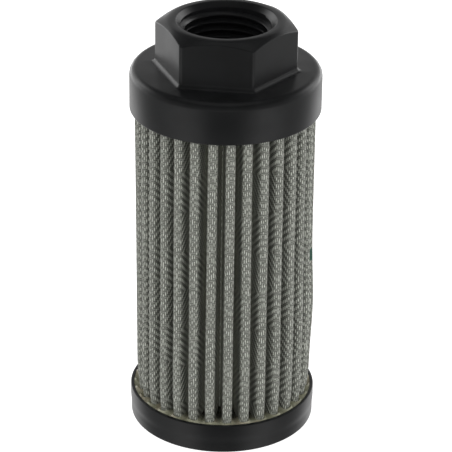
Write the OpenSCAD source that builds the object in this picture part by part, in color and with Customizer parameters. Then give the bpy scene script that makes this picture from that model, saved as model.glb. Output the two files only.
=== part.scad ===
// Hydraulic suction strainer. A pleated wire cloth stands round a perforated tube, and its two
// ends are bedded in resin: below in a round base cap, above under the skirt of a moulded end cap
// that carries the suction port in a hexagon boss. Millimetres, +Z up, origin on the base's centre.

/* [Overall] */
// Height from the base face to the port face
overall_h = 100.6; // [76:0.2:160]
// Radial clearance where one piece slips over another
slip_fit = 0.1; // [0.05:0.05:0.2]

/* [Threaded end cap] */
// Outside diameter of the skirt
cap_d = 44; // [42:0.5:56]
// Height of the skirt, from its lower edge to the flange's top face
skirt_h = 9.9; // [7.5:0.1:15]
// Wall of the skirt
skirt_wall = 1.1; // [0.8:0.05:1.8]
// Thickness of the flange between the boss and the skirt
flange_t = 2.8; // [2:0.1:4.5]
// Rounding of the flange's outer edge
flange_edge_r = 1.8; // [0.4:0.1:2.4]
// Rounding of the skirt's lower edge
skirt_edge_r = 0.3; // [0.1:0.05:0.35]
// Height of the collar under the flange that centres the support tube
collar_h = 3.8; // [2:0.1:6]
// Wall of that collar
collar_wall = 0.8; // [0.6:0.05:1.5]

/* [Hexagon boss] */
// Width across the flats
hex_af = 28.6; // [26.4:0.1:31.4]
// Height of the boss above the flange
hex_h = 11.4; // [8:0.1:16]
// Rounding of the upright edges
hex_corner_r = 0.75; // [0.25:0.05:1.25]
// Diameter of the flat ring at the top of the boss
hex_face_d = 26.6; // [25.2:0.1:27.6]
// Slope of the cone that trims the corners, in degrees
hex_chamfer_angle = 26; // [15:1:45]
// Hollow rounding where the boss meets the flange
hex_foot_r = 0.75; // [0.3:0.05:1.25]

/* [Suction port] */
// Diameter of the port's wall, which is the thread's major diameter
port_d = 20.955; // [16:0.005:21.4]
// Diameter of the countersink at the port's mouth
port_mouth_d = 23; // [22.4:0.1:24]
// Depth of the countersink
port_mouth_h = 1.4; // [0.6:0.1:2]
// Rounding of the mouth's edge
port_mouth_r = 0.3; // [0.1:0.05:0.5]

/* [Pleated wire cloth] */
// Number of pleats
pleat_count = 32; // [20:1:34]
// Thickness of the woven cloth
cloth_t = 0.4; // [0.2:0.05:0.45]
// Outside radius of a crown fold
crown_r = 1; // [0.65:0.05:1.15]
// Outside radius of a valley fold, which faces the tube
valley_r = 0.6; // [0.5:0.05:0.7]
// Turn of the first crown from +X, in degrees
pleat_phase = 0.65; // [0:0.05:11]
// Clearance between the crowns and the skirt
crown_fit = 0.1; // [0.05:0.05:0.3]
// Clearance between the valleys and the tube
valley_fit = 0.1; // [0.05:0.05:0.3]
// Depth of resin between the cloth's ends and the caps
cloth_bed = 1; // [0.3:0.1:2]

/* [Support tube] */
// Thickness of the perforated sheet
tube_t = 0.4; // [0.3:0.05:0.8]
// Diameter of the perforations
hole_d = 4; // [2:0.25:4.5]
// Perforations in one row
hole_columns = 12; // [6:1:14]
// Spacing of the rows
hole_pitch = 7; // [5.5:0.25:10]
// Plain band between the perforations and each cap
hole_margin = 2.5; // [0.5:0.25:6]

/* [Base cap] */
// Height of the base cap
base_h = 7.2; // [5.6:0.1:12.5]
// Wall of the base cap under its rim
base_wall = 0.5; // [0.4:0.05:1.25]
// Thickness of the floor
base_floor = 1.3; // [0.8:0.1:2.5]
// Height of the thicker band at the rim
rim_h = 3.1; // [1.3:0.1:4.4]
// How far the rim band stands out
rim_step = 0.15; // [0.05:0.05:0.6]
// Rounding of the base's lower edge
base_edge_r = 0.45; // [0.2:0.05:0.75]
// Resin round the crowns, inside the base cap's wall
base_gap = 0.5; // [0.3:0.05:2]
// Height of the ring on the floor that centres the tube
locating_h = 1.9; // [1:0.1:3.8]
// Wall of that ring
locating_wall = 0.8; // [0.5:0.1:1.9]

/* [Resin] */
// How far the lower resin lies under the rim
lower_recess = 0.5; // [0.2:0.05:1.9]
// Depth of the upper resin under the flange
upper_depth = 5; // [2.5:0.1:7]

/* [Hidden] */
$fn = 96;
overlap = 0.1;
crown_steps = 8;
valley_steps = 6;
corner_steps = 6;
hex_sides = 6;
hex_half_angle = 180 / hex_sides;

// Heights
flange_top = overall_h - hex_h;
flange_under = flange_top - flange_t;
skirt_bottom = flange_top - skirt_h;
cloth_bottom = base_floor + cloth_bed;
cloth_top = flange_under - cloth_bed;
lower_resin_top = base_h - lower_recess;
upper_resin_bottom = flange_under - upper_depth;

// Radii, from the port outwards
port_r = port_d / 2;
collar_r = port_r + collar_wall;
tube_in_r = collar_r + slip_fit;
tube_out_r = tube_in_r + tube_t;
cap_r = cap_d / 2;
skirt_in_r = cap_r - skirt_wall;
cloth_r = skirt_in_r - crown_fit;
base_in_r = cloth_r + base_gap;
base_out_r = base_in_r + base_wall;
rim_out_r = base_out_r + rim_step;
locating_r = tube_in_r - slip_fit;

// The pleat's folds: the centre of each fold, and the radius of the cloth's middle line there
pleat_half = 180 / pleat_count;
crown_centre = cloth_r - crown_r;
crown_mid = crown_r - cloth_t / 2;
valley_centre = tube_out_r + valley_fit + valley_r;
valley_mid = valley_r - cloth_t / 2;
fold_step = polar(valley_centre, pleat_half) - [crown_centre, 0];
// Angle about the crown's centre at which the cloth leaves the crown for a straight flank
flank_angle = atan2(fold_step.y, fold_step.x) - acos((crown_mid + valley_mid) / norm(fold_step));

function polar(r, a) = [r * cos(a), r * sin(a)];

// Points on an arc about a centre, from one angle to another
function arc(centre, r, from, to, steps) =
    [for (i = [0:steps]) centre + polar(r, from + (to - from) * i / steps)];

// One face of the cloth over all the pleats. The shift moves it off the middle line, outwards if positive
function pleat_outline(shift) = [
    for (k = [0:pleat_count - 1])
        let (crown_a = pleat_phase + 2 * pleat_half * k, valley_a = crown_a + pleat_half)
            each concat(
                arc(polar(crown_centre, crown_a), crown_mid + shift,
                    crown_a - flank_angle, crown_a + flank_angle, crown_steps),
                arc(polar(valley_centre, valley_a), valley_mid - shift,
                    crown_a + flank_angle + 180, valley_a + pleat_half - flank_angle + 180, valley_steps)
            )
];

// What is left of a square corner of the given size outside its rounding
module corner_waste(r) {
    difference() {
        square(r + overlap);
        circle(r);
    }
}

// A hexagon with rounded corners, one corner on +X
module rounded_hexagon(af, r) {
    corner = (af / 2 - r) / cos(hex_half_angle);
    polygon([
        for (i = [0:hex_sides - 1])
            let (a = 2 * hex_half_angle * i)
                each arc(polar(corner, a), r, a - hex_half_angle, a + hex_half_angle, corner_steps)
    ]);
}

// The foot of the boss: a hexagon whose six sides sweep out to the flange in a cove, mitred at the corners
module hexagon_foot(af, r) {
    reach = af / 2 + r;
    intersection_for (i = [0:hex_sides / 2 - 1])
        rotate([0, 0, hex_half_angle * (2 * i + 1)])
            translate([0, 2 * reach, 0])
                rotate([90, 0, 0])
                    linear_extrude(4 * reach)
                        difference() {
                            translate([-reach, -overlap]) square([2 * reach, r + overlap]);
                            for (side = [-1, 1]) translate([side * reach, r]) circle(r);
                        }
}

// Half-section of the flange, the skirt and the collar, as far in as the axis
module end_cap_section() {
    difference() {
        union() {
            translate([0, flange_under]) square([cap_r, flange_t]);
            translate([skirt_in_r, skirt_bottom]) square([skirt_wall, skirt_h - overlap]);
            translate([0, flange_under - collar_h]) square([collar_r, collar_h + overlap]);
        }
        translate([cap_r - flange_edge_r, flange_top - flange_edge_r]) corner_waste(flange_edge_r);
        translate([cap_r - skirt_edge_r, skirt_bottom + skirt_edge_r])
            mirror([0, 1]) corner_waste(skirt_edge_r);
    }
}

// The boss: a rounded hexagon trimmed by a cone at its top
module hexagon_boss() {
    reach = hex_af / 2 / cos(hex_half_angle) + 1;
    drop = (reach - hex_face_d / 2) * tan(hex_chamfer_angle);
    intersection() {
        translate([0, 0, flange_top - overlap])
            linear_extrude(hex_h + overlap) rounded_hexagon(hex_af, hex_corner_r);
        rotate_extrude()
            polygon([
                [0, flange_top - 2 * overlap], [reach, flange_top - 2 * overlap],
                [reach, overall_h - drop], [hex_face_d / 2, overall_h], [0, overall_h]
            ]);
    }
}

// Half-section of the port: a plain wall, a countersink and a rounded mouth
module port_section() {
    collar_bottom = flange_under - collar_h;
    countersink_bottom = overall_h - port_mouth_h;
    mouth_r = port_mouth_d / 2;
    mouth_slope = atan2(mouth_r - port_r, port_mouth_h);
    mouth_tangent = port_mouth_r * tan((90 - mouth_slope) / 2);
    translate([0, collar_bottom - 1]) square([port_r, countersink_bottom - collar_bottom + 1 + overlap]);
    polygon([
        [0, countersink_bottom], [port_r, countersink_bottom],
        [mouth_r, overall_h], [mouth_r, overall_h + 1], [0, overall_h + 1]
    ]);
    // the edge between the countersink and the port face
    difference() {
        translate([mouth_r - mouth_tangent * sin(mouth_slope), overall_h - mouth_tangent * cos(mouth_slope)])
            square([mouth_tangent * (1 + sin(mouth_slope)), mouth_tangent * cos(mouth_slope) + 1]);
        translate([mouth_r + mouth_tangent, overall_h - port_mouth_r]) circle(port_mouth_r);
    }
}

// One glass-filled nylon moulding
module threaded_end_cap() {
    color("#26282a")
        difference() {
            union() {
                rotate_extrude() end_cap_section();
                hexagon_boss();
                translate([0, 0, flange_top]) hexagon_foot(hex_af, hex_foot_r);
            }
            rotate_extrude() port_section();
        }
}

// The cloth as a closed pleated wall between two heights
module pleated_wall(from, to) {
    translate([0, 0, from])
        linear_extrude(to - from)
            difference() {
                polygon(pleat_outline(cloth_t / 2));
                polygon(pleat_outline(-cloth_t / 2));
            }
}

// One strip of stainless wire cloth, pleated and closed to a ring
module pleated_cloth() {
    color("#8e8f88") pleated_wall(cloth_bottom, cloth_top);
}

// A round wall between two radii and two heights
module ring(in_r, out_r, from, to) {
    translate([0, 0, from])
        difference() {
            cylinder(r = out_r, h = to - from);
            translate([0, 0, -1]) cylinder(r = in_r, h = to - from + 2);
        }
}

// Resin cast in the base cap, round the lower end of the cloth
module lower_resin() {
    color("#a7a482")
        difference() {
            ring(tube_out_r, base_in_r, base_floor, lower_resin_top);
            pleated_wall(cloth_bottom, lower_resin_top + 1);
        }
}

// Resin cast under the flange, round the upper end of the cloth
module upper_resin() {
    color("#a7a482")
        difference() {
            ring(tube_out_r, skirt_in_r, upper_resin_bottom, flange_under);
            pleated_wall(upper_resin_bottom - 1, cloth_top);
        }
}

// A rolled sheet-steel tube with staggered rows of round perforations
module support_tube() {
    first_row = base_h + hole_margin + hole_d / 2;
    last_row = skirt_bottom - hole_margin - hole_d / 2;
    rows = floor((last_row - first_row) / hole_pitch) + 1;
    start = (first_row + last_row - (rows - 1) * hole_pitch) / 2;
    color("#b4b6b7")
        difference() {
            ring(tube_in_r, tube_out_r, base_floor, flange_under);
            for (row = [0:rows - 1], column = [0:hole_columns - 1])
                rotate([0, 0, 360 / hole_columns * (column + (row % 2) / 2)])
                    translate([tube_in_r - 1.5, 0, start + row * hole_pitch])
                        rotate([0, 90, 0]) cylinder(d = hole_d, h = tube_t + 3);
        }
}

// Half-section of the base cap: floor, wall with a rim band, and the ring that centres the tube
module base_cap_section() {
    difference() {
        union() {
            square([base_out_r, base_floor]);
            translate([base_in_r, 0]) square([base_wall, base_h]);
            polygon([
                [base_in_r, base_h - rim_h - rim_step], [base_out_r, base_h - rim_h - rim_step],
                [rim_out_r, base_h - rim_h], [rim_out_r, base_h], [base_in_r, base_h]
            ]);
            translate([locating_r - locating_wall, 0]) square([locating_wall, base_floor + locating_h]);
        }
        translate([base_out_r - base_edge_r, base_edge_r]) mirror([0, 1]) corner_waste(base_edge_r);
        translate([rim_out_r - rim_step, base_h - rim_step]) corner_waste(rim_step);
    }
}

// One moulding, closed underneath
module base_cap() {
    color("#26282a") rotate_extrude() base_cap_section();
}

threaded_end_cap();
upper_resin();
pleated_cloth();
support_tube();
lower_resin();
base_cap();
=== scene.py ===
"""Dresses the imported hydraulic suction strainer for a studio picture.

One section for each piece, in the order in which the strainer is put together. Lengths are in millimetres
and become metres through MM. Every piece is made in place, in the frame's own coordinates.
"""
import math
import random

import bmesh
import bpy
from mathutils import Matrix, Vector, noise


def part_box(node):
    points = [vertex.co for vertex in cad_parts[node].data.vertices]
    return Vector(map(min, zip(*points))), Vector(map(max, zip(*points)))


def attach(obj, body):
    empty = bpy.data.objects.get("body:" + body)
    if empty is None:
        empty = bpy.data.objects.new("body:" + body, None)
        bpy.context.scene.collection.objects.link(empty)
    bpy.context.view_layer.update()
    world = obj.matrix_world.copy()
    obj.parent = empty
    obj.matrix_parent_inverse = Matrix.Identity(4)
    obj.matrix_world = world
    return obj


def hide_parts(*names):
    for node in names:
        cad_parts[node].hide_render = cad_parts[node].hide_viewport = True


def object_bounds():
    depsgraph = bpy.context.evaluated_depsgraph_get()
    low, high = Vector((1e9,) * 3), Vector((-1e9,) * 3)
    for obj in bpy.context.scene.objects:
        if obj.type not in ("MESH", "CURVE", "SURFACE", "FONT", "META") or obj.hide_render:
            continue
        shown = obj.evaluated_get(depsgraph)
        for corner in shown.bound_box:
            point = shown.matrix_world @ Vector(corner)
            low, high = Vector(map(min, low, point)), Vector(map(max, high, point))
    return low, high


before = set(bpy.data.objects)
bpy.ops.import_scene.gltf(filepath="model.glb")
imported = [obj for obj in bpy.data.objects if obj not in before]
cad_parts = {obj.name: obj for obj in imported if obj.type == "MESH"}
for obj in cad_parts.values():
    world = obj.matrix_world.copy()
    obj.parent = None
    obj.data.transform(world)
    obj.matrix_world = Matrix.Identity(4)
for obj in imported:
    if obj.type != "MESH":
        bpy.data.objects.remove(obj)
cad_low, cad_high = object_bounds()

# Base cap
# A shallow cup moulded in black glass-filled nylon, with a thicker band round its rim and a low ring inside
# that centres the support tube. The strainer stands on it, and the lower resin is poured into it.

MM = 0.001
ROUND_STEPS = 192
EDGE_SEGMENTS = 5
SMOOTH_ANGLE = math.radians(35)
WELD = 0.001

base_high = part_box("base_cap")[1]
tube_low, tube_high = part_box("support_tube")

BASE_H = base_high.z / MM
BASE_FLOOR = tube_low.z / MM
BASE_WALL = 0.65
BASE_EDGE_ROUND = 0.45
RIM_R = base_high.x / MM
RIM_H = 3.1
RIM_STEP = 0.15
RIM_TAPER = 1.3
RIM_ROUND = 0.5
LIP_ROUND = 0.2
CORNER_ROUND = 0.12
BASE_WALL_R = RIM_R - RIM_STEP
BASE_INNER_R = BASE_WALL_R - BASE_WALL
TUBE_T = 0.4
SLIP_FIT = 0.1
LOCATING_WALL = 0.8
LOCATING_H = 1.9
LOCATING_R = tube_high.x / MM - TUBE_T - SLIP_FIT
LOCATING_INNER_R = LOCATING_R - LOCATING_WALL
LOCATING_TOP = BASE_FLOOR + LOCATING_H
NYLON_DARK = (0.0084, 0.0088, 0.0092, 1.0)
NYLON_PALE = (0.0112, 0.0118, 0.0124, 1.0)
NYLON_CLOUD = 6.0
NYLON_GRAIN = 0.25


def turned(outline, steps=ROUND_STEPS):
    """A body turned about Z from its half-section's corners: (radius, height, rounding) in millimetres."""
    body = bmesh.new()
    corners = [body.verts.new((radius * MM, 0, height * MM)) for radius, height, _ in outline]
    for near, far in zip(corners, corners[1:] + corners[:1]):
        if near.co.x or far.co.x:
            body.edges.new((near, far))
    for corner, (_, _, rounding) in zip(corners, outline):
        if rounding:
            bmesh.ops.bevel(body, geom=[corner], offset=rounding * MM, offset_type="OFFSET", profile=0.5,
                            segments=EDGE_SEGMENTS, affect="VERTICES", material=-1)
    bmesh.ops.spin(body, geom=body.verts[:] + body.edges[:], cent=(0, 0, 0), axis=(0, 0, 1),
                   angle=math.tau, steps=steps, use_merge=True)
    bmesh.ops.remove_doubles(body, verts=body.verts, dist=WELD * MM)
    bmesh.ops.recalc_face_normals(body, faces=body.faces)
    return body


def finished(body, name, material):
    """Turns a bmesh into a smooth-shaded piece of the strainer with its material."""
    mesh = bpy.data.meshes.new(name)
    body.to_mesh(mesh)
    body.free()
    mesh.shade_smooth()
    mesh.set_sharp_from_angle(angle=SMOOTH_ANGLE)
    mesh.materials.append(material)
    piece = bpy.data.objects.new(name, mesh)
    bpy.context.scene.collection.objects.link(piece)
    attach(piece, "root")
    return piece


def place(tree, kind, inputs=None, **settings):
    """Adds a shader node. Inputs are values or other nodes' sockets, by input name or number."""
    added = tree.nodes.new("ShaderNode" + kind)
    for key, value in settings.items():
        setattr(added, key, value)
    for key, value in (inputs or {}).items():
        if isinstance(value, bpy.types.NodeSocket):
            tree.links.new(value, added.inputs[key])
        else:
            added.inputs[key].default_value = value
    return added


def sums(tree, operation, first, second=0.0, third=0.0):
    """The result of one arithmetic node."""
    return place(tree, "Math", {0: first, 1: second, 2: third}, operation=operation).outputs[0]


def speckle(tree, where, size, detail=2.0):
    """Noise from 0 to 1 with features of the given size in millimetres."""
    grains = place(tree, "TexNoise", {"Vector": where, "Scale": 1 / (size * MM), "Detail": detail})
    return grains.outputs["Fac"]


def ranged(tree, value, low, high, to_low, to_high):
    """Maps a value smoothly from one range to another, held at both ends."""
    limits = {"Value": value, "From Min": low, "From Max": high, "To Min": to_low, "To Max": to_high}
    return place(tree, "MapRange", limits, interpolation_type="SMOOTHSTEP").outputs["Result"]


def blended(tree, amount, first, second):
    """A colour between two others."""
    mixer = place(tree, "Mix", data_type="RGBA")
    for socket, value in (("Factor_Float", amount), ("A_Color", first), ("B_Color", second)):
        target = next(i for i in mixer.inputs if i.identifier == socket)
        if isinstance(value, bpy.types.NodeSocket):
            tree.links.new(value, target)
        else:
            target.default_value = value
    return next(o for o in mixer.outputs if o.identifier == "Result_Color")


def new_finish(name):
    """A new material, its node tree and its shader."""
    material = bpy.data.materials.new(name)
    material.use_nodes = True
    return material, material.node_tree, material.node_tree.nodes["Principled BSDF"]


def dress(tree, shader, colour, roughness, relief, depth, strength):
    """Joins a finish's colour, roughness and relief to its shader. The relief's depth is in millimetres."""
    bump = place(tree, "Bump", {"Strength": strength, "Distance": depth * MM, "Height": relief})
    tree.links.new(colour, shader.inputs["Base Color"])
    tree.links.new(roughness, shader.inputs["Roughness"])
    tree.links.new(bump.outputs["Normal"], shader.inputs["Normal"])


def moulded_nylon():
    """Satin black nylon: a faintly cloudy moulding skin with a fine pitted grain."""
    material, tree, shader = new_finish("moulded_nylon")
    where = place(tree, "TexCoord").outputs["Object"]
    clouds = speckle(tree, where, NYLON_CLOUD, detail=5.0)
    grain = speckle(tree, where, NYLON_GRAIN, detail=3.0)
    colour = blended(tree, ranged(tree, clouds, 0.35, 0.68, 0.0, 1.0), NYLON_DARK, NYLON_PALE)
    roughness = ranged(tree, clouds, 0.3, 0.7, 0.33, 0.28)
    dress(tree, shader, colour, roughness, grain, depth=0.02, strength=0.25)
    return material


nylon = moulded_nylon()
base_cap = finished(turned([
    (0, 0, 0), (BASE_WALL_R, 0, BASE_EDGE_ROUND), (BASE_WALL_R, BASE_H - RIM_H - RIM_TAPER, RIM_ROUND),
    (RIM_R, BASE_H - RIM_H, RIM_ROUND), (RIM_R, BASE_H, LIP_ROUND), (BASE_INNER_R, BASE_H, CORNER_ROUND),
    (BASE_INNER_R, BASE_FLOOR, LIP_ROUND), (LOCATING_R, BASE_FLOOR, 0),
    (LOCATING_R, LOCATING_TOP, CORNER_ROUND), (LOCATING_INNER_R, LOCATING_TOP, CORNER_ROUND),
    (LOCATING_INNER_R, BASE_FLOOR, CORNER_ROUND), (0, BASE_FLOOR, 0),
]), "base_cup", nylon)
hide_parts("base_cap")

# Support tube
# A tube rolled from thin perforated steel sheet, zinc-plated. It keeps the cloth from collapsing under
# suction and stands between the two caps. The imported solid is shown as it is, with its plating.

ZINC_DARK = (0.30, 0.31, 0.315, 1.0)
ZINC_BRIGHT = (0.62, 0.63, 0.63, 1.0)
SPANGLE = 3.0
BRUSHING = 0.6
BRUSHING_STRETCH = (1.0, 1.0, 8.0)


def zinc_plating():
    """Dull zinc on rolled sheet: soft spangle, with brushing round the tube."""
    material, tree, shader = new_finish("zinc_plating")
    where = place(tree, "TexCoord").outputs["Object"]
    spangle = place(tree, "TexVoronoi", {"Vector": where, "Scale": 1 / (SPANGLE * MM)}).outputs["Color"]
    spangle = place(tree, "SeparateColor", {"Color": spangle}).outputs["Red"]
    brushed = place(tree, "Mapping", {"Vector": where, "Scale": BRUSHING_STRETCH}).outputs["Vector"]
    lines = speckle(tree, brushed, BRUSHING, detail=4.0)
    tone = sums(tree, "MULTIPLY_ADD", spangle, 0.35, sums(tree, "MULTIPLY", lines, 0.65))
    colour = blended(tree, tone, ZINC_DARK, ZINC_BRIGHT)
    roughness = ranged(tree, tone, 0.2, 0.8, 0.5, 0.3)
    shader.inputs["Metallic"].default_value = 1.0
    dress(tree, shader, colour, roughness, lines, depth=0.02, strength=0.3)
    return material


support_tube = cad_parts["support_tube"]
support_tube.data.materials.clear()
support_tube.data.materials.append(zinc_plating())

# Pleated cloth
# One strip of woven stainless wire, folded into pleats with round crowns and closed to a ring on the tube.
# Hand-set before the resin, so the crowns lean and waver a little.

cloth_low, cloth_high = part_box("pleated_cloth")

PLEATS = 32
PLEAT_PHASE = math.radians(0.65)
PLEAT_HALF = math.pi / PLEATS
CLOTH_T = 0.4
CLOTH_R = 20.8
CROWN_R = 1.08
CROWN_CENTRE = CLOTH_R - CROWN_R
VALLEY_R = 0.2
VALLEY_FIT = 0.1
VALLEY_CENTRE = tube_high.x / MM + VALLEY_FIT + CLOTH_T + VALLEY_R
CROWN_STEPS = 10
VALLEY_STEPS = 4
FLANK_CUTS = 5
CLOTH_ROWS = 34
BAKE_COLUMNS = 16
BAKE_ROWS = 4
BAKE_MARGIN = 0.02


def fold_angle():
    """The angle, either side of a crown, at which its arc runs into the straight flanks."""
    step = Vector((VALLEY_CENTRE * math.cos(PLEAT_HALF) - CROWN_CENTRE, VALLEY_CENTRE * math.sin(PLEAT_HALF)))
    return math.atan2(step.y, step.x) - math.acos((CROWN_R + VALLEY_R) / step.length)


def about(radius, angle):
    """A point in the plane of the section, from its radius in millimetres and its angle."""
    return Vector((radius * MM * math.cos(angle), radius * MM * math.sin(angle), 0))


def fold_round(body, end, centre, angle, steps):
    """Carries a fold on round a centre and returns its new end."""
    made = bmesh.ops.spin(body, geom=[end], cent=centre, axis=(0, 0, 1), angle=angle, steps=steps)
    return next(part for part in made["geom_last"] if isinstance(part, bmesh.types.BMVert))


def one_pleat():
    """The outer face of one pleat in section, from the middle of one valley to the middle of the next."""
    fold = fold_angle()
    crown = about(CROWN_CENTRE, 0)
    near_valley, far_valley = about(VALLEY_CENTRE, -PLEAT_HALF), about(VALLEY_CENTRE, PLEAT_HALF)
    turn = PLEAT_HALF - fold
    body = bmesh.new()
    start = body.verts.new(near_valley + about(VALLEY_R, math.pi - PLEAT_HALF))
    near_flank = fold_round(body, start, near_valley, turn, VALLEY_STEPS)
    crown_start = body.verts.new(crown + about(CROWN_R, -fold))
    crown_end = fold_round(body, crown_start, crown, 2 * fold, CROWN_STEPS)
    far_flank = body.verts.new(far_valley + about(VALLEY_R, math.pi + fold))
    fold_round(body, far_flank, far_valley, turn, VALLEY_STEPS)
    flanks = [body.edges.new(pair) for pair in ((near_flank, crown_start), (crown_end, far_flank))]
    bmesh.ops.subdivide_edges(body, edges=flanks, cuts=FLANK_CUTS)
    return body


def measured_along(body):
    """Writes each point's distance along the strip, in metres, and returns the pleat's whole length."""
    along = body.verts.layers.float.new("along")
    ends = [v for v in body.verts if len(v.link_edges) == 1]
    at = min(ends, key=lambda v: v.co.y)
    walked, came_by = 0.0, None
    while True:
        at[along] = walked
        onward = [edge for edge in at.link_edges if edge != came_by]
        if not onward:
            return walked
        came_by = onward[0]
        walked += came_by.calc_length()
        at = came_by.other_vert(at)


def pleats_round(spot):
    """How many pleats round the ring a spot is from the first crown."""
    return (math.atan2(spot.y, spot.x) - PLEAT_PHASE) / (2 * PLEAT_HALF)


def risen(spot):
    """How far up the strip a spot is, from 0 to 1."""
    return (spot.z - cloth_low.z) / (cloth_high.z - cloth_low.z)


def map_strip(body, length):
    """Maps the weave along the strip, and gives each pleat a place of its own in the bake's map."""
    along = body.verts.layers.float["along"]
    weave_map = body.loops.layers.uv.new("weave")
    bake_map = body.loops.layers.uv.new("OFBake")
    for face in body.faces:
        turns = pleats_round(face.calc_center_median())
        pleat, before_crown = round(turns) % PLEATS, turns % 1 > 0.5
        column, row = pleat % BAKE_COLUMNS, pleat // BAKE_COLUMNS
        for loop in face.loops:
            run = loop.vert[along]
            if before_crown and run > length * 0.75:
                run -= length
            elif not before_crown and run < length * 0.25:
                run += length
            loop[weave_map].uv = (run + pleat * length, loop.vert.co.z)
            loop[bake_map].uv = (
                (column + BAKE_MARGIN + (1 - 2 * BAKE_MARGIN) * run / length) / BAKE_COLUMNS,
                (row + BAKE_MARGIN + (1 - 2 * BAKE_MARGIN) * risen(loop.vert.co)) / BAKE_ROWS,
            )


# How the pleats were left: each crown wavers and leans, and they stand wider apart at the front
SETTING_SEED = 7
CROWN_WAVER = math.radians(0.27)
CROWN_LEAN = math.radians(0.6)
FRONT_ANGLE = math.radians(-81.6)
SPREAD_FOOT = 0.06
SPREAD_HEAD = 0.03
# The bundle bulges on one side, is squeezed on the other, and is drawn in where it enters the base cap
BULGE = 0.62
BULGE_ANGLE = math.radians(8)
BULGE_SPREAD = math.radians(26)
BULGE_Z = 30.0
BULGE_H = 11.0
SQUEEZE = 0.42
SQUEEZE_TOP = 75.0
SQUEEZE_SPREAD = math.radians(40)
FOOT_DRAW = 0.65
FOOT_TOP = 13.0
FOOT_LEVEL = 5.0


def spread(angle, rise):
    """How far a pleat is moved round the ring: they stand wider apart at the front, and most at the foot."""
    return (SPREAD_FOOT + (SPREAD_HEAD - SPREAD_FOOT) * rise) * math.sin(angle - FRONT_ANGLE)


def hand_set(body):
    """Moves the even pleats to where they were left by hand. Their valleys keep to the tube."""
    chance = random.Random(SETTING_SEED)
    crowns = [(chance.uniform(-1, 1), chance.uniform(-1, 1)) for _ in range(PLEATS)]
    valley_r = (VALLEY_CENTRE - VALLEY_R) * MM
    for point in body.verts:
        angle, radius, z = math.atan2(point.co.y, point.co.x), point.co.xy.length, point.co.z / MM
        pleat, rise = round(pleats_round(point.co)) % PLEATS, risen(point.co)
        waver, lean = crowns[pleat]
        ripple = noise.noise((pleat * 3.7, rise * 4.0, 0.5))
        out = max(0.0, (radius - valley_r) / (CLOTH_R * MM - valley_r))
        angle += spread(angle, rise)
        angle += out * (CROWN_WAVER * (waver + ripple) + CROWN_LEAN * lean * (0.5 - rise))
        from_bulge = math.remainder(angle - BULGE_ANGLE, math.tau) / BULGE_SPREAD
        from_squeeze = math.remainder(angle - BULGE_ANGLE - math.pi, math.tau) / SQUEEZE_SPREAD
        bulge = BULGE * math.exp(-from_bulge ** 2 - ((z - BULGE_Z) / BULGE_H) ** 2)
        squeeze = SQUEEZE * max(0.0, 1 - z / SQUEEZE_TOP) ** 0.7 * math.exp(-from_squeeze ** 2)
        foot = min(1.0, max(0.0, (FOOT_TOP - z) / (FOOT_TOP - FOOT_LEVEL)))
        radius += out * (bulge - squeeze - FOOT_DRAW * foot ** 1.5) * MM
        point.co.xy = radius * math.cos(angle), radius * math.sin(angle)


def pleated_strip():
    """The whole cloth: the pleats in a ring, drawn up, mapped, set by hand and given thickness."""
    body = one_pleat()
    length = measured_along(body)
    bmesh.ops.rotate(body, verts=body.verts, cent=(0, 0, 0), matrix=Matrix.Rotation(PLEAT_PHASE, 3, "Z"))
    bmesh.ops.spin(body, geom=body.verts[:] + body.edges[:], cent=(0, 0, 0), axis=(0, 0, 1),
                   angle=2 * PLEAT_HALF * (PLEATS - 1), steps=PLEATS - 1, use_duplicate=True)
    bmesh.ops.remove_doubles(body, verts=body.verts, dist=WELD * MM)
    bmesh.ops.translate(body, verts=body.verts, vec=(0, 0, cloth_low.z))
    drawn = bmesh.ops.extrude_edge_only(body, edges=body.edges[:])
    top = [part for part in drawn["geom"] if isinstance(part, bmesh.types.BMVert)]
    height = cloth_high.z - cloth_low.z
    bmesh.ops.translate(body, verts=top, vec=(0, 0, height))
    upright = [edge for edge in body.edges if abs(edge.verts[0].co.z - edge.verts[1].co.z) > height / 2]
    bmesh.ops.subdivide_edges(body, edges=upright, cuts=CLOTH_ROWS - 1, use_grid_fill=True)
    bmesh.ops.recalc_face_normals(body, faces=body.faces)
    map_strip(body, length)
    hand_set(body)
    inner = bmesh.ops.solidify(body, geom=body.faces[:], thickness=CLOTH_T * MM)
    bake_map = body.loops.layers.uv["OFBake"]
    for face in inner["geom"]:
        if isinstance(face, bmesh.types.BMFace):
            for loop in face.loops:
                loop[bake_map].uv.y += PLEATS / BAKE_COLUMNS / BAKE_ROWS
    return body, length


# The weave: a twill, two wires over and two under, whose slant turns back every twenty wires or so
WIRE_PITCH_ALONG = 0.47
WIRE_PITCH_UP = 0.4365
WIRE_WANDER = 0.25
WANDER_SIZE = 3.0
TWILL_REPEAT = 4
HERRINGBONE_H = 9.93
HERRINGBONE_Z = 50.2


def from_crown(tree, strip, pleat_length):
    """How far along the strip the middle of the nearest crown is, in millimetres."""
    run = sums(tree, "MODULO", place(tree, "SeparateXYZ", {"Vector": strip}).outputs["X"], pleat_length)
    return sums(tree, "DIVIDE", sums(tree, "ABSOLUTE", sums(tree, "SUBTRACT", run, pleat_length / 2)), MM)


def wire_round(tree, count):
    """How far a wire stands up across its width, from a count of wires: 0 at its edges, 1 in its middle."""
    return sums(tree, "SINE", sums(tree, "MULTIPLY", sums(tree, "FRACT", count), math.pi))


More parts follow.
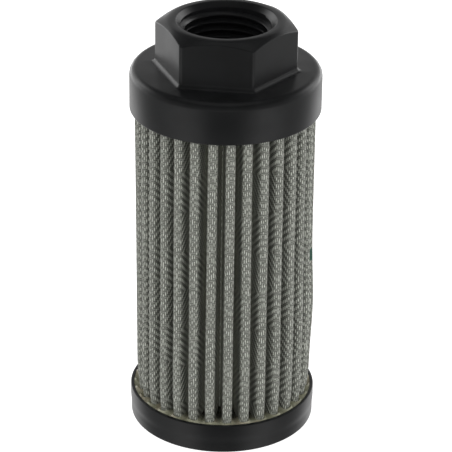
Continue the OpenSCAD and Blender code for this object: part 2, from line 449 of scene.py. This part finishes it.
def twill(tree, strip, off_crown):
    """The height of the woven wires, from 0 to 1, and a chance number for each of their crossings, which sets
    their painted glints.
    """
    wander = place(tree, "TexNoise", {"Vector": strip, "Scale": 1 / (WANDER_SIZE * MM), "Detail": 1.0})
    wander = place(tree, "VectorMath", {0: wander.outputs["Color"], 1: (0.5, 0.5, 0.5)}, operation="SUBTRACT")
    wander = place(tree, "VectorMath", {0: wander.outputs[0], "Scale": WIRE_WANDER * MM}, operation="SCALE")
    woven = place(tree, "VectorMath", {0: strip, 1: wander.outputs[0]}, operation="ADD")
    woven = place(tree, "SeparateXYZ", {"Vector": woven.outputs[0]}).outputs
    along = sums(tree, "DIVIDE", woven["X"], WIRE_PITCH_ALONG * MM)
    up = sums(tree, "DIVIDE", woven["Y"], WIRE_PITCH_UP * MM)
    upright = sums(tree, "FLOOR", along)
    rows = sums(tree, "PINGPONG", sums(tree, "SUBTRACT", up, HERRINGBONE_Z / WIRE_PITCH_UP),
                HERRINGBONE_H / WIRE_PITCH_UP)
    # the wires slip past each other where they are bent over a crown, so no slant shows there
    slip = place(tree, "TexWhiteNoise", {"W": upright}, noise_dimensions="1D").outputs["Value"]
    slip = sums(tree, "MULTIPLY", sums(tree, "SUBTRACT", slip, 0.5),
                ranged(tree, off_crown, 0.5, 1.2, 3.4, 0.1))
    drift_at = place(tree, "CombineXYZ", {"X": sums(tree, "MULTIPLY", upright, 3.7),
                                          "Y": sums(tree, "MULTIPLY", up, 0.2)}).outputs[0]
    drift = place(tree, "TexNoise", {"Vector": drift_at, "Scale": 1.0, "Detail": 1.0}).outputs["Fac"]
    slip = sums(tree, "MULTIPLY_ADD", sums(tree, "SUBTRACT", drift, 0.5),
                ranged(tree, off_crown, 0.5, 1.2, 7.0, 0.0), slip)
    float_row = sums(tree, "ADD", sums(tree, "SUBTRACT", rows, upright), slip)
    float_row = sums(tree, "DIVIDE", float_row, TWILL_REPEAT)
    over = sums(tree, "COSINE", sums(tree, "MULTIPLY", float_row, math.tau))
    over = ranged(tree, over, -0.5, 0.6, 0.0, 1.0)
    warp = sums(tree, "MULTIPLY", over, ranged(tree, wire_round(tree, along), 0.4, 0.92, 0.0, 1.0))
    weft = sums(tree, "MULTIPLY", wire_round(tree, up), ranged(tree, off_crown, 0.8, 1.8, 0.42, 0.12))
    weft = sums(tree, "MULTIPLY", sums(tree, "SUBTRACT", 1.0, over), weft)
    crossing = place(tree, "CombineXYZ", {"X": upright, "Y": sums(tree, "FLOOR", up)}).outputs[0]
    painted_glint = place(tree, "TexWhiteNoise", {"Vector": crossing}, noise_dimensions="2D").outputs["Value"]
    return sums(tree, "MAXIMUM", warp, weft), painted_glint


WICK_LEVEL = 6.3
WICK_FADE = 1.4
WICK_RAGGED = 1.0
DAB_CENTRE = Vector((21.1, 0.5, 42.8))
DAB_R = 2.0
DAB_FADE = 0.7
DAB_RAGGED = 1.5


def wicked(tree, where):
    """Where resin has wicked up the wires, a little way above its level, and where a painted highlight of the
    wet resin lies.
    """
    height = place(tree, "SeparateXYZ", {"Vector": where}).outputs["Z"]
    height = sums(tree, "MULTIPLY_ADD", speckle(tree, where, 1.2), WICK_RAGGED * MM, height)
    return ranged(tree, height, WICK_LEVEL * MM, (WICK_LEVEL + WICK_FADE) * MM, 0.65, 0.0)


def dabbed(tree, where):
    """Where a dab of green assembly paint lies on one crown."""
    off = place(tree, "VectorMath", {0: where, 1: DAB_CENTRE * MM}, operation="DISTANCE").outputs["Value"]
    edge = sums(tree, "MULTIPLY_ADD", speckle(tree, where, 0.9), DAB_RAGGED * MM, off)
    return ranged(tree, edge, DAB_R * MM, (DAB_R + DAB_FADE) * MM, 1.0, 0.0)


# painted shade between the wires, paler in some patches than in others
WIRE_SHADOW = (0.08, 0.082, 0.07, 1.0)
WIRE_SHADOW_PALE = (0.12, 0.1235, 0.106, 1.0)
# the wires' painted glints run from the dull tone to the bright one
WIRE_DULL = (0.62, 0.643, 0.564, 1.0)
WIRE_BRIGHT = (0.965, 0.99, 0.89, 1.0)
# painted light: the pale of lit wires behind, seen through the gaps
PAINTED_LIGHT_THROUGH = (0.54, 0.55, 0.485, 1.0)
# resin wicked into the weave, painted pale grey with a highlight of the wet resin too
WIRE_WETTED_GLINT = (0.52, 0.54, 0.49, 1.0)
# black, towards which painted shade darkens the wires
PAINTED_SHADE = (0.0, 0.0, 0.0, 1.0)
DAB_GREEN = (0.035, 0.11, 0.077, 1.0)
SHADOW_PATCH_SIZE = 9.0


def wire_cloth(pleat_length):
    """Dull stainless wire in twill: upright wires ride over two cross wires and dive under the next two."""
    material, tree, shader = new_finish("wire_cloth")
    where = place(tree, "TexCoord").outputs["Object"]
    strip = place(tree, "UVMap", uv_map="weave").outputs["UV"]
    off_crown = from_crown(tree, strip, pleat_length)
    knuckles, painted_glint = twill(tree, strip, off_crown)
    # between the wires the colour is painted shade, unevenly pale
    dark = blended(tree, speckle(tree, where, SHADOW_PATCH_SIZE, detail=4.0), WIRE_SHADOW, WIRE_SHADOW_PALE)
    # painted glints: each crossing of the wires is painted at random between dull and bright
    light = blended(tree, painted_glint, WIRE_DULL, WIRE_BRIGHT)
    # painted shade: the middles of the crowns are painted a little darker
    light = blended(tree, ranged(tree, off_crown, 0.6, 1.3, 0.13, 0.0), light, PAINTED_SHADE)
    # painted shade: the wires are painted darker down the flanks, from the crown into the fold
    fold_shade = sums(tree, "MULTIPLY", ranged(tree, off_crown, 1.4, 3.4, 0.0, 0.4),
                 ranged(tree, off_crown, 3.6, 5.4, 1.0, 0.0))
    light = blended(tree, fold_shade, light, PAINTED_SHADE)
    # painted light: deep in the folds the gaps are painted pale, as lit wires behind show through them
    dark = blended(tree, ranged(tree, off_crown, 2.6, 6.4, 0.0, 0.95), dark, PAINTED_LIGHT_THROUGH)
    colour = blended(tree, knuckles, dark, light)
    # resin wicked up the wires above its level, painted pale partly as a highlight of the wet resin
    colour = blended(tree, wicked(tree, where), colour, WIRE_WETTED_GLINT)
    painted = dabbed(tree, where)
    colour = blended(tree, painted, colour, DAB_GREEN)
    bare = sums(tree, "SUBTRACT", 1.0, painted)
    tree.links.new(sums(tree, "MULTIPLY", bare, 0.15), shader.inputs["Metallic"])
    roughness = ranged(tree, knuckles, 0.0, 1.0, 0.7, 0.42)
    dress(tree, shader, colour, roughness, knuckles, depth=0.08, strength=0.4)
    return material


strip_body, pleat_length = pleated_strip()
pleated_cloth = finished(strip_body, "pleated_wire_cloth", wire_cloth(pleat_length))
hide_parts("pleated_cloth")

# Lower resin
# Olive-grey epoxy poured into the base cap round the foot of the cloth. It creeps up the cap's wall and every
# crown before it sets, so its level is a dish between small fillets.

RESIN_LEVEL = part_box("lower_resin")[1].z / MM
RESIN_INNER_R = tube_high.x / MM
RESIN_RINGS = 60
RESIN_STEPS = PLEATS * 18
RESIN_GATHER = 0.6
CREEP_WALL = 0.28
CREEP_CLOTH = 0.7
CREEP_UNEVEN = 0.7
CREEP_REACH = 0.35
RESIN_RIPPLE = 0.08
RESIN_SHRINKAGE = 0.06
NEAR = 0.01


def from_cloth(x, y):
    """Distance in millimetres from a point of the section to the outer face of the nearest pleat."""
    angle = math.atan2(y, x)
    angle -= spread(angle, 0.0) + PLEAT_PHASE
    angle = abs((angle + PLEAT_HALF) % (2 * PLEAT_HALF) - PLEAT_HALF)
    radius = math.hypot(x, y)
    point = Vector((radius * math.cos(angle), radius * math.sin(angle)))
    fold = fold_angle()
    crown = Vector((CROWN_CENTRE, 0))
    start = crown + CROWN_R * Vector((math.cos(fold), math.sin(fold)))
    end = VALLEY_CENTRE * Vector((math.cos(PLEAT_HALF), math.sin(PLEAT_HALF)))
    end -= VALLEY_R * Vector((math.cos(fold), math.sin(fold)))
    run = end - start
    share = min(1.0, max(0.0, (point - start).dot(run) / run.length_squared))
    return min((point - start - share * run).length, abs((point - crown).length - CROWN_R))


def poured_resin():
    """A ring of resin whose face is lifted where it wets the cap and the cloth."""
    body = turned([(RESIN_INNER_R, BASE_FLOOR, 0), (BASE_INNER_R, BASE_FLOOR, 0),
                   (BASE_INNER_R, RESIN_LEVEL, 0), (RESIN_INNER_R, RESIN_LEVEL, 0)], RESIN_STEPS)
    face_z = (RESIN_LEVEL - NEAR) * MM
    across = [e for e in body.edges if all(v.co.z > face_z for v in e.verts)
              and abs(e.verts[0].co.xy.length - e.verts[1].co.xy.length) > MM]
    bmesh.ops.subdivide_edges(body, edges=across, cuts=RESIN_RINGS - 1)
    span = BASE_INNER_R - RESIN_INNER_R
    for point in body.verts:
        if point.co.z < face_z:
            continue
        share = max(0.0, (point.co.xy.length / MM - RESIN_INNER_R) / span)
        radius = RESIN_INNER_R + span * share ** RESIN_GATHER
        x, y = point.co.xy.normalized() * radius
        uneven = 1 + CREEP_UNEVEN * noise.noise((x * 0.55, y * 0.55, 1.7))
        lift = CREEP_CLOTH * uneven * math.exp(-from_cloth(x, y) / CREEP_REACH)
        lift += CREEP_WALL * math.exp(-(BASE_INNER_R - radius) / CREEP_REACH)
        lift += RESIN_RIPPLE * noise.noise((x * 1.4, y * 1.4, 4.2)) - RESIN_SHRINKAGE
        point.co = x * MM, y * MM, point.co.z + lift * MM
    bmesh.ops.recalc_face_normals(body, faces=body.faces)
    return body


RESIN_DARK = (0.25, 0.25, 0.168, 1.0)
RESIN_PALE = (0.47, 0.47, 0.355, 1.0)
RESIN_BUBBLE = (0.165, 0.16, 0.112, 1.0)
RESIN_TAN = (0.36, 0.31, 0.225, 1.0)
# painted shade for the resin deep between the pleats
RESIN_PAINTED_SHADE = (0.03, 0.03, 0.024, 1.0)
RESIN_CLOUD = 2.0
BUBBLE_SIZE = 0.7
TAN_SIZE = 4.0
# the painted shade is strongest inside the first radius and gone past the second
SHADE_START_R = 16.5
SHADE_END_R = 20.0


def cast_resin():
    """Cloudy olive-grey epoxy with a wet gloss, small bubbles and tan patches."""
    material, tree, shader = new_finish("cast_resin")
    where = place(tree, "TexCoord").outputs["Object"]
    clouds = speckle(tree, where, RESIN_CLOUD, detail=5.0)
    bubbles = place(tree, "TexVoronoi", {"Vector": where, "Scale": 1 / (BUBBLE_SIZE * MM)})
    bubbles = ranged(tree, bubbles.outputs["Distance"], 0.05, 0.22, 0.0, 1.0)
    tan = speckle(tree, where, TAN_SIZE, detail=1.0)
    colour = blended(tree, ranged(tree, clouds, 0.3, 0.72, 0.0, 1.0), RESIN_DARK, RESIN_PALE)
    colour = blended(tree, sums(tree, "SUBTRACT", 1.0, bubbles), colour, RESIN_BUBBLE)
    colour = blended(tree, ranged(tree, tan, 0.5, 0.62, 0.0, 0.55), colour, RESIN_TAN)
    # painted shade: the resin is painted darker deep between the pleats
    across = place(tree, "VectorMath", {0: where, 1: (1.0, 1.0, 0.0)}, operation="MULTIPLY").outputs[0]
    across = place(tree, "VectorMath", {0: across}, operation="LENGTH").outputs["Value"]
    colour = blended(tree, ranged(tree, across, SHADE_START_R * MM, SHADE_END_R * MM, 0.9, 0.0), colour, RESIN_PAINTED_SHADE)
    roughness = ranged(tree, clouds, 0.3, 0.7, 0.42, 0.2)
    relief = sums(tree, "MULTIPLY_ADD", bubbles, 0.3, clouds)
    dress(tree, shader, colour, roughness, relief, depth=0.1, strength=0.4)
    return material


resin = cast_resin()
resin_pool = finished(poured_resin(), "resin_pool", resin)
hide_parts("lower_resin")

# Upper resin
# The same epoxy, cast under the flange with the strainer upside down, where it beds the upper end of the
# cloth. Only its edge shows, from below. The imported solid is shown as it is.

upper_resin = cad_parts["upper_resin"]
upper_resin.data.materials.clear()
upper_resin.data.materials.append(resin)

# Threaded end cap
# One moulding in the same black nylon: a flange with a short skirt over the cloth, a hexagon boss for the
# spanner, and a collar inside that centres the tube. The boss is trimmed by a cone, as a nut is.

cap_low, cap_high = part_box("threaded_end_cap")

TOP = cap_high.z / MM
CAP_R = cap_high.x / MM
SKIRT_BOTTOM = cap_low.z / MM
SKIRT_WALL = 1.1
SKIRT_INNER_R = CAP_R - SKIRT_WALL
SKIRT_ROUND = 0.3
HEX_H = 11.4
FLANGE_T = 2.8
FLANGE_TOP = TOP - HEX_H
FLANGE_UNDER = FLANGE_TOP - FLANGE_T
FLANGE_EDGE_ROUND = 1.8
COLLAR_H = 3.8
COLLAR_BOTTOM = FLANGE_UNDER - COLLAR_H
COLLAR_R = LOCATING_R
PORT_R = 20.955 / 2
MOUTH_R = 11.5
MOUTH_DEPTH = 1.2
MOUTH_ROUND = 0.22
HEX_SECTOR = math.radians(60)
HEX_FLAT_R = 28.6 / 2
HEX_CORNER_ROUND = 1.1
HEX_FACE_R = 13.0
HEX_FACE_ROUND = 0.7
HEX_CHAMFER = math.tan(math.radians(26))
HEX_CHAMFER_ROUND = 0.22
HEX_FOOT_ROUND = 1.15
HEX_BLANK_R = 15.1
HEX_STEPS = 360
HEX_GATHER = 2.0


def hexagon_radius(angle):
    """How far out the rounded hexagon reaches at an angle, with a corner on +X."""
    half = HEX_SECTOR / 2
    off = abs((angle + half) % HEX_SECTOR - half)
    corner_centre = (HEX_FLAT_R - HEX_CORNER_ROUND) / math.cos(half)
    run_out = math.atan2(HEX_CORNER_ROUND * math.sin(half), corner_centre + HEX_CORNER_ROUND * math.cos(half))
    if off > run_out:
        return HEX_FLAT_R / math.cos(half - off)
    sideways = corner_centre * math.sin(off)
    return corner_centre * math.cos(off) + math.sqrt(HEX_CORNER_ROUND ** 2 - sideways ** 2)


def gathered(angle):
    """Draws the turned sections together towards the hexagon's corners, where the outline bends."""
    corner = round(angle / HEX_SECTOR) * HEX_SECTOR
    off = (angle - corner) / (HEX_SECTOR / 2)
    return corner + math.copysign(abs(off) ** HEX_GATHER, off) * HEX_SECTOR / 2


def end_cap():
    """The cap turned with a round boss, whose wall is then drawn in and out to the hexagon."""
    wall_top = TOP - (HEX_BLANK_R - HEX_FACE_R) * HEX_CHAMFER
    half_up = (wall_top + FLANGE_TOP) / 2
    body = turned([
        (PORT_R, COLLAR_BOTTOM, CORNER_ROUND), (PORT_R, TOP - MOUTH_DEPTH, 0), (MOUTH_R, TOP, MOUTH_ROUND),
        (HEX_FACE_R, TOP, HEX_FACE_ROUND), (HEX_BLANK_R, wall_top, HEX_CHAMFER_ROUND),
        (HEX_BLANK_R, FLANGE_TOP, HEX_FOOT_ROUND), (CAP_R, FLANGE_TOP, FLANGE_EDGE_ROUND),
        (CAP_R, SKIRT_BOTTOM, SKIRT_ROUND), (SKIRT_INNER_R, SKIRT_BOTTOM, LIP_ROUND),
        (SKIRT_INNER_R, FLANGE_UNDER, 0), (COLLAR_R, FLANGE_UNDER, 0),
        (COLLAR_R, COLLAR_BOTTOM, CORNER_ROUND),
    ], HEX_STEPS)
    for point in body.verts:
        angle = gathered(math.atan2(point.co.y, point.co.x))
        radius, height = point.co.xy.length / MM, point.co.z / MM
        reach = hexagon_radius(angle)
        if height > half_up and radius > HEX_FACE_R:
            below_cone = TOP - height - (radius - HEX_FACE_R) * HEX_CHAMFER
            radius = HEX_FACE_R + (radius - HEX_FACE_R) * (reach - HEX_FACE_R) / (HEX_BLANK_R - HEX_FACE_R)
            height = TOP - (radius - HEX_FACE_R) * HEX_CHAMFER - below_cone
        elif FLANGE_TOP - NEAR < height < half_up and abs(radius - HEX_BLANK_R) < HEX_FOOT_ROUND + NEAR:
            radius += reach - HEX_BLANK_R
        point.co = radius * MM * math.cos(angle), radius * MM * math.sin(angle), height * MM
    bmesh.ops.recalc_face_normals(body, faces=body.faces)
    return body


hexagon_cap = finished(end_cap(), "hexagon_end_cap", nylon)
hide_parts("threaded_end_cap")

# Pipe thread
# The G1/2 female thread, moulded with the end cap: a right-hand ridge round the port's wall, cut back by the
# countersink at the mouth.

THREAD_PITCH = 1.814
THREAD_CREST_R = 18.631 / 2
THREAD_BURY = 0.08
THREAD_BOTTOM = 84.69
THREAD_TURN_STEPS = 72
THREAD_CREST_HALF = 0.17
THREAD_CREST_ROUND = 0.13
THREAD_ROOT_HALF = 0.55
THREAD_RUN_OUT = 0.3


def thread_ridge():
    """One ridge wound up the wall by a turning spin, with its ends closed and run out into the wall."""
    turns = (TOP - MOUTH_DEPTH - THREAD_BOTTOM) / THREAD_PITCH
    steps = round(turns * THREAD_TURN_STEPS)
    body = bmesh.new()
    section = [body.verts.new((radius * MM, 0, (THREAD_BOTTOM + height) * MM)) for radius, height in (
        (PORT_R + THREAD_BURY, -THREAD_ROOT_HALF), (THREAD_CREST_R, -THREAD_CREST_HALF),
        (THREAD_CREST_R, THREAD_CREST_HALF), (PORT_R + THREAD_BURY, THREAD_ROOT_HALF))]
    for near, far in zip(section, section[1:] + section[:1]):
        body.edges.new((near, far))
    bmesh.ops.bevel(body, geom=section[1:3], offset=THREAD_CREST_ROUND * MM, offset_type="OFFSET",
                    segments=3, profile=0.5, affect="VERTICES", material=-1)
    bmesh.ops.spin(body, geom=body.verts[:] + body.edges[:], cent=(0, 0, 0), axis=(0, 0, 1),
                   dvec=(0, 0, THREAD_PITCH * MM / THREAD_TURN_STEPS),
                   angle=math.tau * steps / THREAD_TURN_STEPS, steps=steps)
    bmesh.ops.holes_fill(body, edges=[edge for edge in body.edges if edge.is_boundary], sides=0)
    for point in body.verts:
        cone = PORT_R + (point.co.z / MM - TOP + MOUTH_DEPTH) * (MOUTH_R - PORT_R) / MOUTH_DEPTH
        lead_in = PORT_R - (point.co.z / MM - THREAD_BOTTOM)
        buried = max(cone, min(lead_in, PORT_R + THREAD_RUN_OUT)) + THREAD_BURY
        point.co.xy = point.co.xy.normalized() * max(point.co.xy.length / MM, buried) * MM
    bmesh.ops.recalc_face_normals(body, faces=body.faces)
    return body


port_thread = finished(thread_ridge(), "port_thread", nylon)

# Studio
# A white floor that runs out of sight, two tall softboxes, a fill beside the camera and soft light from all
# round. Gloss sees a tent of graded cards instead of the lamps, as it does in a product studio.

CAMERA_AZIMUTH = math.radians(8.43)
CAMERA_OUT = 529.38
CAMERA_HEIGHT = 311.55
CAMERA_DOWN = math.radians(26.398)
CAMERA_ROLL = math.radians(0.727)
CAMERA_LENS = 201.04
CAMERA_SHIFT = (0.0045, -0.0011)
FLOOR_HALF = 30000.0
FLOOR_PAINT = (0.8, 0.8, 0.8, 1.0)
FLOOR_WHITE = 0.9


def stand(azimuth, out, height):
    """A place in the studio, by degrees to the right of the camera's side, and millimetres out and up."""
    turn = CAMERA_AZIMUTH + math.radians(azimuth)
    return Vector((math.sin(turn) * out, -math.cos(turn) * out, height)) * MM


def only_seen(tree):
    """1 for the camera, for gloss and through glass, and 0 where a surface gathers light."""
    path = place(tree, "LightPath").outputs
    either = sums(tree, "MAXIMUM", path["Is Camera Ray"], path["Is Glossy Ray"])
    return sums(tree, "MAXIMUM", either, path["Is Transmission Ray"])


def studio_floor():
    """The pale floor: matt paint that takes the shadow, on a white that only sight reaches."""
    material, tree, shader = new_finish("studio_floor")
    tree.nodes.remove(shader)
    paint = place(tree, "BsdfDiffuse", {"Color": FLOOR_PAINT}).outputs[0]
    glow = sums(tree, "MULTIPLY", only_seen(tree), FLOOR_WHITE)
    white = place(tree, "Emission", {"Strength": glow}).outputs[0]
    both = place(tree, "AddShader", {0: paint, 1: white}).outputs[0]
    tree.links.new(both, tree.nodes["Material Output"].inputs["Surface"])
    return material


def set_up(body, name, material):
    """Turns a bmesh into one of the studio's own objects."""
    mesh = bpy.data.meshes.new(name)
    body.to_mesh(mesh)
    body.free()
    mesh.materials.append(material)
    surround = bpy.data.objects.new(name, mesh)
    bpy.context.scene.collection.objects.link(surround)
    return surround


floor_body = bmesh.new()
bmesh.ops.create_grid(floor_body, x_segments=1, y_segments=1, size=FLOOR_HALF * MM)
floor = set_up(floor_body, "floor", studio_floor())
floor.visible_glossy = False

# The tent's tones by degrees round from the camera's side: low down, along the horizon, and above it
TENT_R = 6000.0
TENT_FULL = 4.0
LOW_TONES = ((0, 0.0), (14, 0.0), (26, 0.22), (40, 0.85), (60, 0.66), (78, 0.34), (100, 0.27), (120, 0.52),
             (140, 1.38), (165, 0.7), (180, 0.6))
HORIZON_TONES = ((0, 0.35), (40, 0.25), (70, 0.2), (105, 0.45), (125, 2.2), (145, 2.6), (163, 2.8),
                 (172, 0.6), (180, 0.2))
HIGH_TONES = ((0, 0.05), (90, 0.2), (110, 0.4), (128, 2.6), (142, 1.5), (155, 0.5), (180, 0.42))
# Tones that are the same all round: the least that the floor sends up, the tent's shoulder, and its top
FLOOR_TONE = 0.22
SHOULDER_TONE = 0.0
OVERHEAD_TONE = 0.17


def graded(tree, share, tones):
    """A tone between 0 and 1 that runs smoothly through stops of (degrees, tone)."""
    ramp = place(tree, "ValToRGB", {"Fac": share})
    ramp.color_ramp.interpolation = "B_SPLINE"
    stops = ramp.color_ramp.elements
    while len(stops) < len(tones):
        stops.new(0.5)
    for stop, (degrees, tone) in zip(stops, tones):
        stop.position = degrees / 180
        stop.color = (tone / TENT_FULL, tone / TENT_FULL, tone / TENT_FULL, 1.0)
    return place(tree, "SeparateColor", {"Color": ramp.outputs["Color"]}).outputs["Red"]


def passing(tree, height, low, high, below, above):
    """One tone below an elevation in degrees, another above a second one, and a blend between them."""
    share = ranged(tree, height, math.sin(math.radians(low)), math.sin(math.radians(high)), 0.0, 1.0)
    return sums(tree, "ADD", sums(tree, "MULTIPLY", below, sums(tree, "SUBTRACT", 1.0, share)),
                sums(tree, "MULTIPLY", above, share))


def tent_cards():
    """Light from the tent's wall, band by band from the floor up to a dim top."""
    material, tree, shader = new_finish("tent_cards")
    tree.nodes.remove(shader)
    where = place(tree, "TexCoord").outputs["Object"]
    way = place(tree, "VectorMath", {0: where}, operation="NORMALIZE").outputs[0]
    way = place(tree, "VectorRotate", {"Vector": way, "Angle": -CAMERA_AZIMUTH}, rotation_type="Z_AXIS")
    way = place(tree, "SeparateXYZ", {"Vector": way.outputs[0]}).outputs
    round_by = sums(tree, "ABSOLUTE", sums(tree, "ARCTAN2", way["X"], sums(tree, "MULTIPLY", way["Y"], -1.0)))
    share = sums(tree, "DIVIDE", round_by, math.pi)
    low, horizon, high = (graded(tree, share, tones) for tones in (LOW_TONES, HORIZON_TONES, HIGH_TONES))
    tone = sums(tree, "MAXIMUM", low, FLOOR_TONE / TENT_FULL)
    for start, end, above in ((-31, -26, low), (-14, -6, horizon), (0, 6, high),
                              (31, 38, SHOULDER_TONE / TENT_FULL), (60, 70, OVERHEAD_TONE / TENT_FULL)):
        tone = passing(tree, way["Z"], start, end, tone, above)
    light = place(tree, "Emission", {"Strength": sums(tree, "MULTIPLY", tone, TENT_FULL)}).outputs[0]
    tree.links.new(light, tree.nodes["Material Output"].inputs["Surface"])
    return material


tent_body = bmesh.new()
bmesh.ops.create_uvsphere(tent_body, u_segments=64, v_segments=32, radius=TENT_R * MM)
tent = set_up(tent_body, "tent", tent_cards())
tent.visible_camera = False
tent.visible_diffuse = False
tent.visible_shadow = False
tent.visible_transmission = False


def softbox(name, azimuth, out, height, width, tall, watts):
    """A rectangular lamp that faces the middle of the strainer."""
    lamp = bpy.data.lights.new(name, "AREA")
    lamp.shape = "RECTANGLE"
    lamp.size, lamp.size_y = width * MM, tall * MM
    lamp.energy = watts
    light = bpy.data.objects.new(name, lamp)
    light.location = stand(azimuth, out, height)
    aim = Vector((0, 0, cad_high.z / 2)) - light.location
    light.rotation_euler = aim.to_track_quat("-Z", "Y").to_euler()
    light.visible_camera = False
    light.visible_glossy = False
    bpy.context.scene.collection.objects.link(light)


softbox("left_softbox", azimuth=-62, out=530, height=260, width=260, tall=500, watts=0.22)
softbox("right_softbox", azimuth=62, out=530, height=260, width=260, tall=500, watts=0.36)
softbox("front_fill", azimuth=0, out=560, height=290, width=300, tall=300, watts=0.06)

AIR_LIGHT = 0.75
AIR_SEEN = 1.0

world = bpy.data.worlds.new("studio_air")
world.use_nodes = True
bpy.context.scene.world = world
air = world.node_tree.nodes["Background"]
air.inputs["Color"].default_value = (1.0, 1.0, 1.0, 1.0)
air_strength = ranged(world.node_tree, only_seen(world.node_tree), 0.0, 1.0, AIR_LIGHT, AIR_SEEN)
world.node_tree.links.new(air_strength, air.inputs["Strength"])

lens = bpy.data.cameras.new("camera")
lens.sensor_width = 36.0
lens.lens = CAMERA_LENS
lens.shift_x, lens.shift_y = CAMERA_SHIFT
lens.clip_end = 100.0
camera = bpy.data.objects.new("camera", lens)
camera.matrix_world = (Matrix.Translation(stand(0, CAMERA_OUT, CAMERA_HEIGHT))
                       @ Matrix.Rotation(CAMERA_AZIMUTH, 4, "Z")
                       @ Matrix.Rotation(math.pi / 2 - CAMERA_DOWN, 4, "X")
                       @ Matrix.Rotation(CAMERA_ROLL, 4, "Z"))
bpy.context.scene.collection.objects.link(camera)
bpy.context.scene.camera = camera
bpy.context.scene.view_settings.view_transform = "Standard"
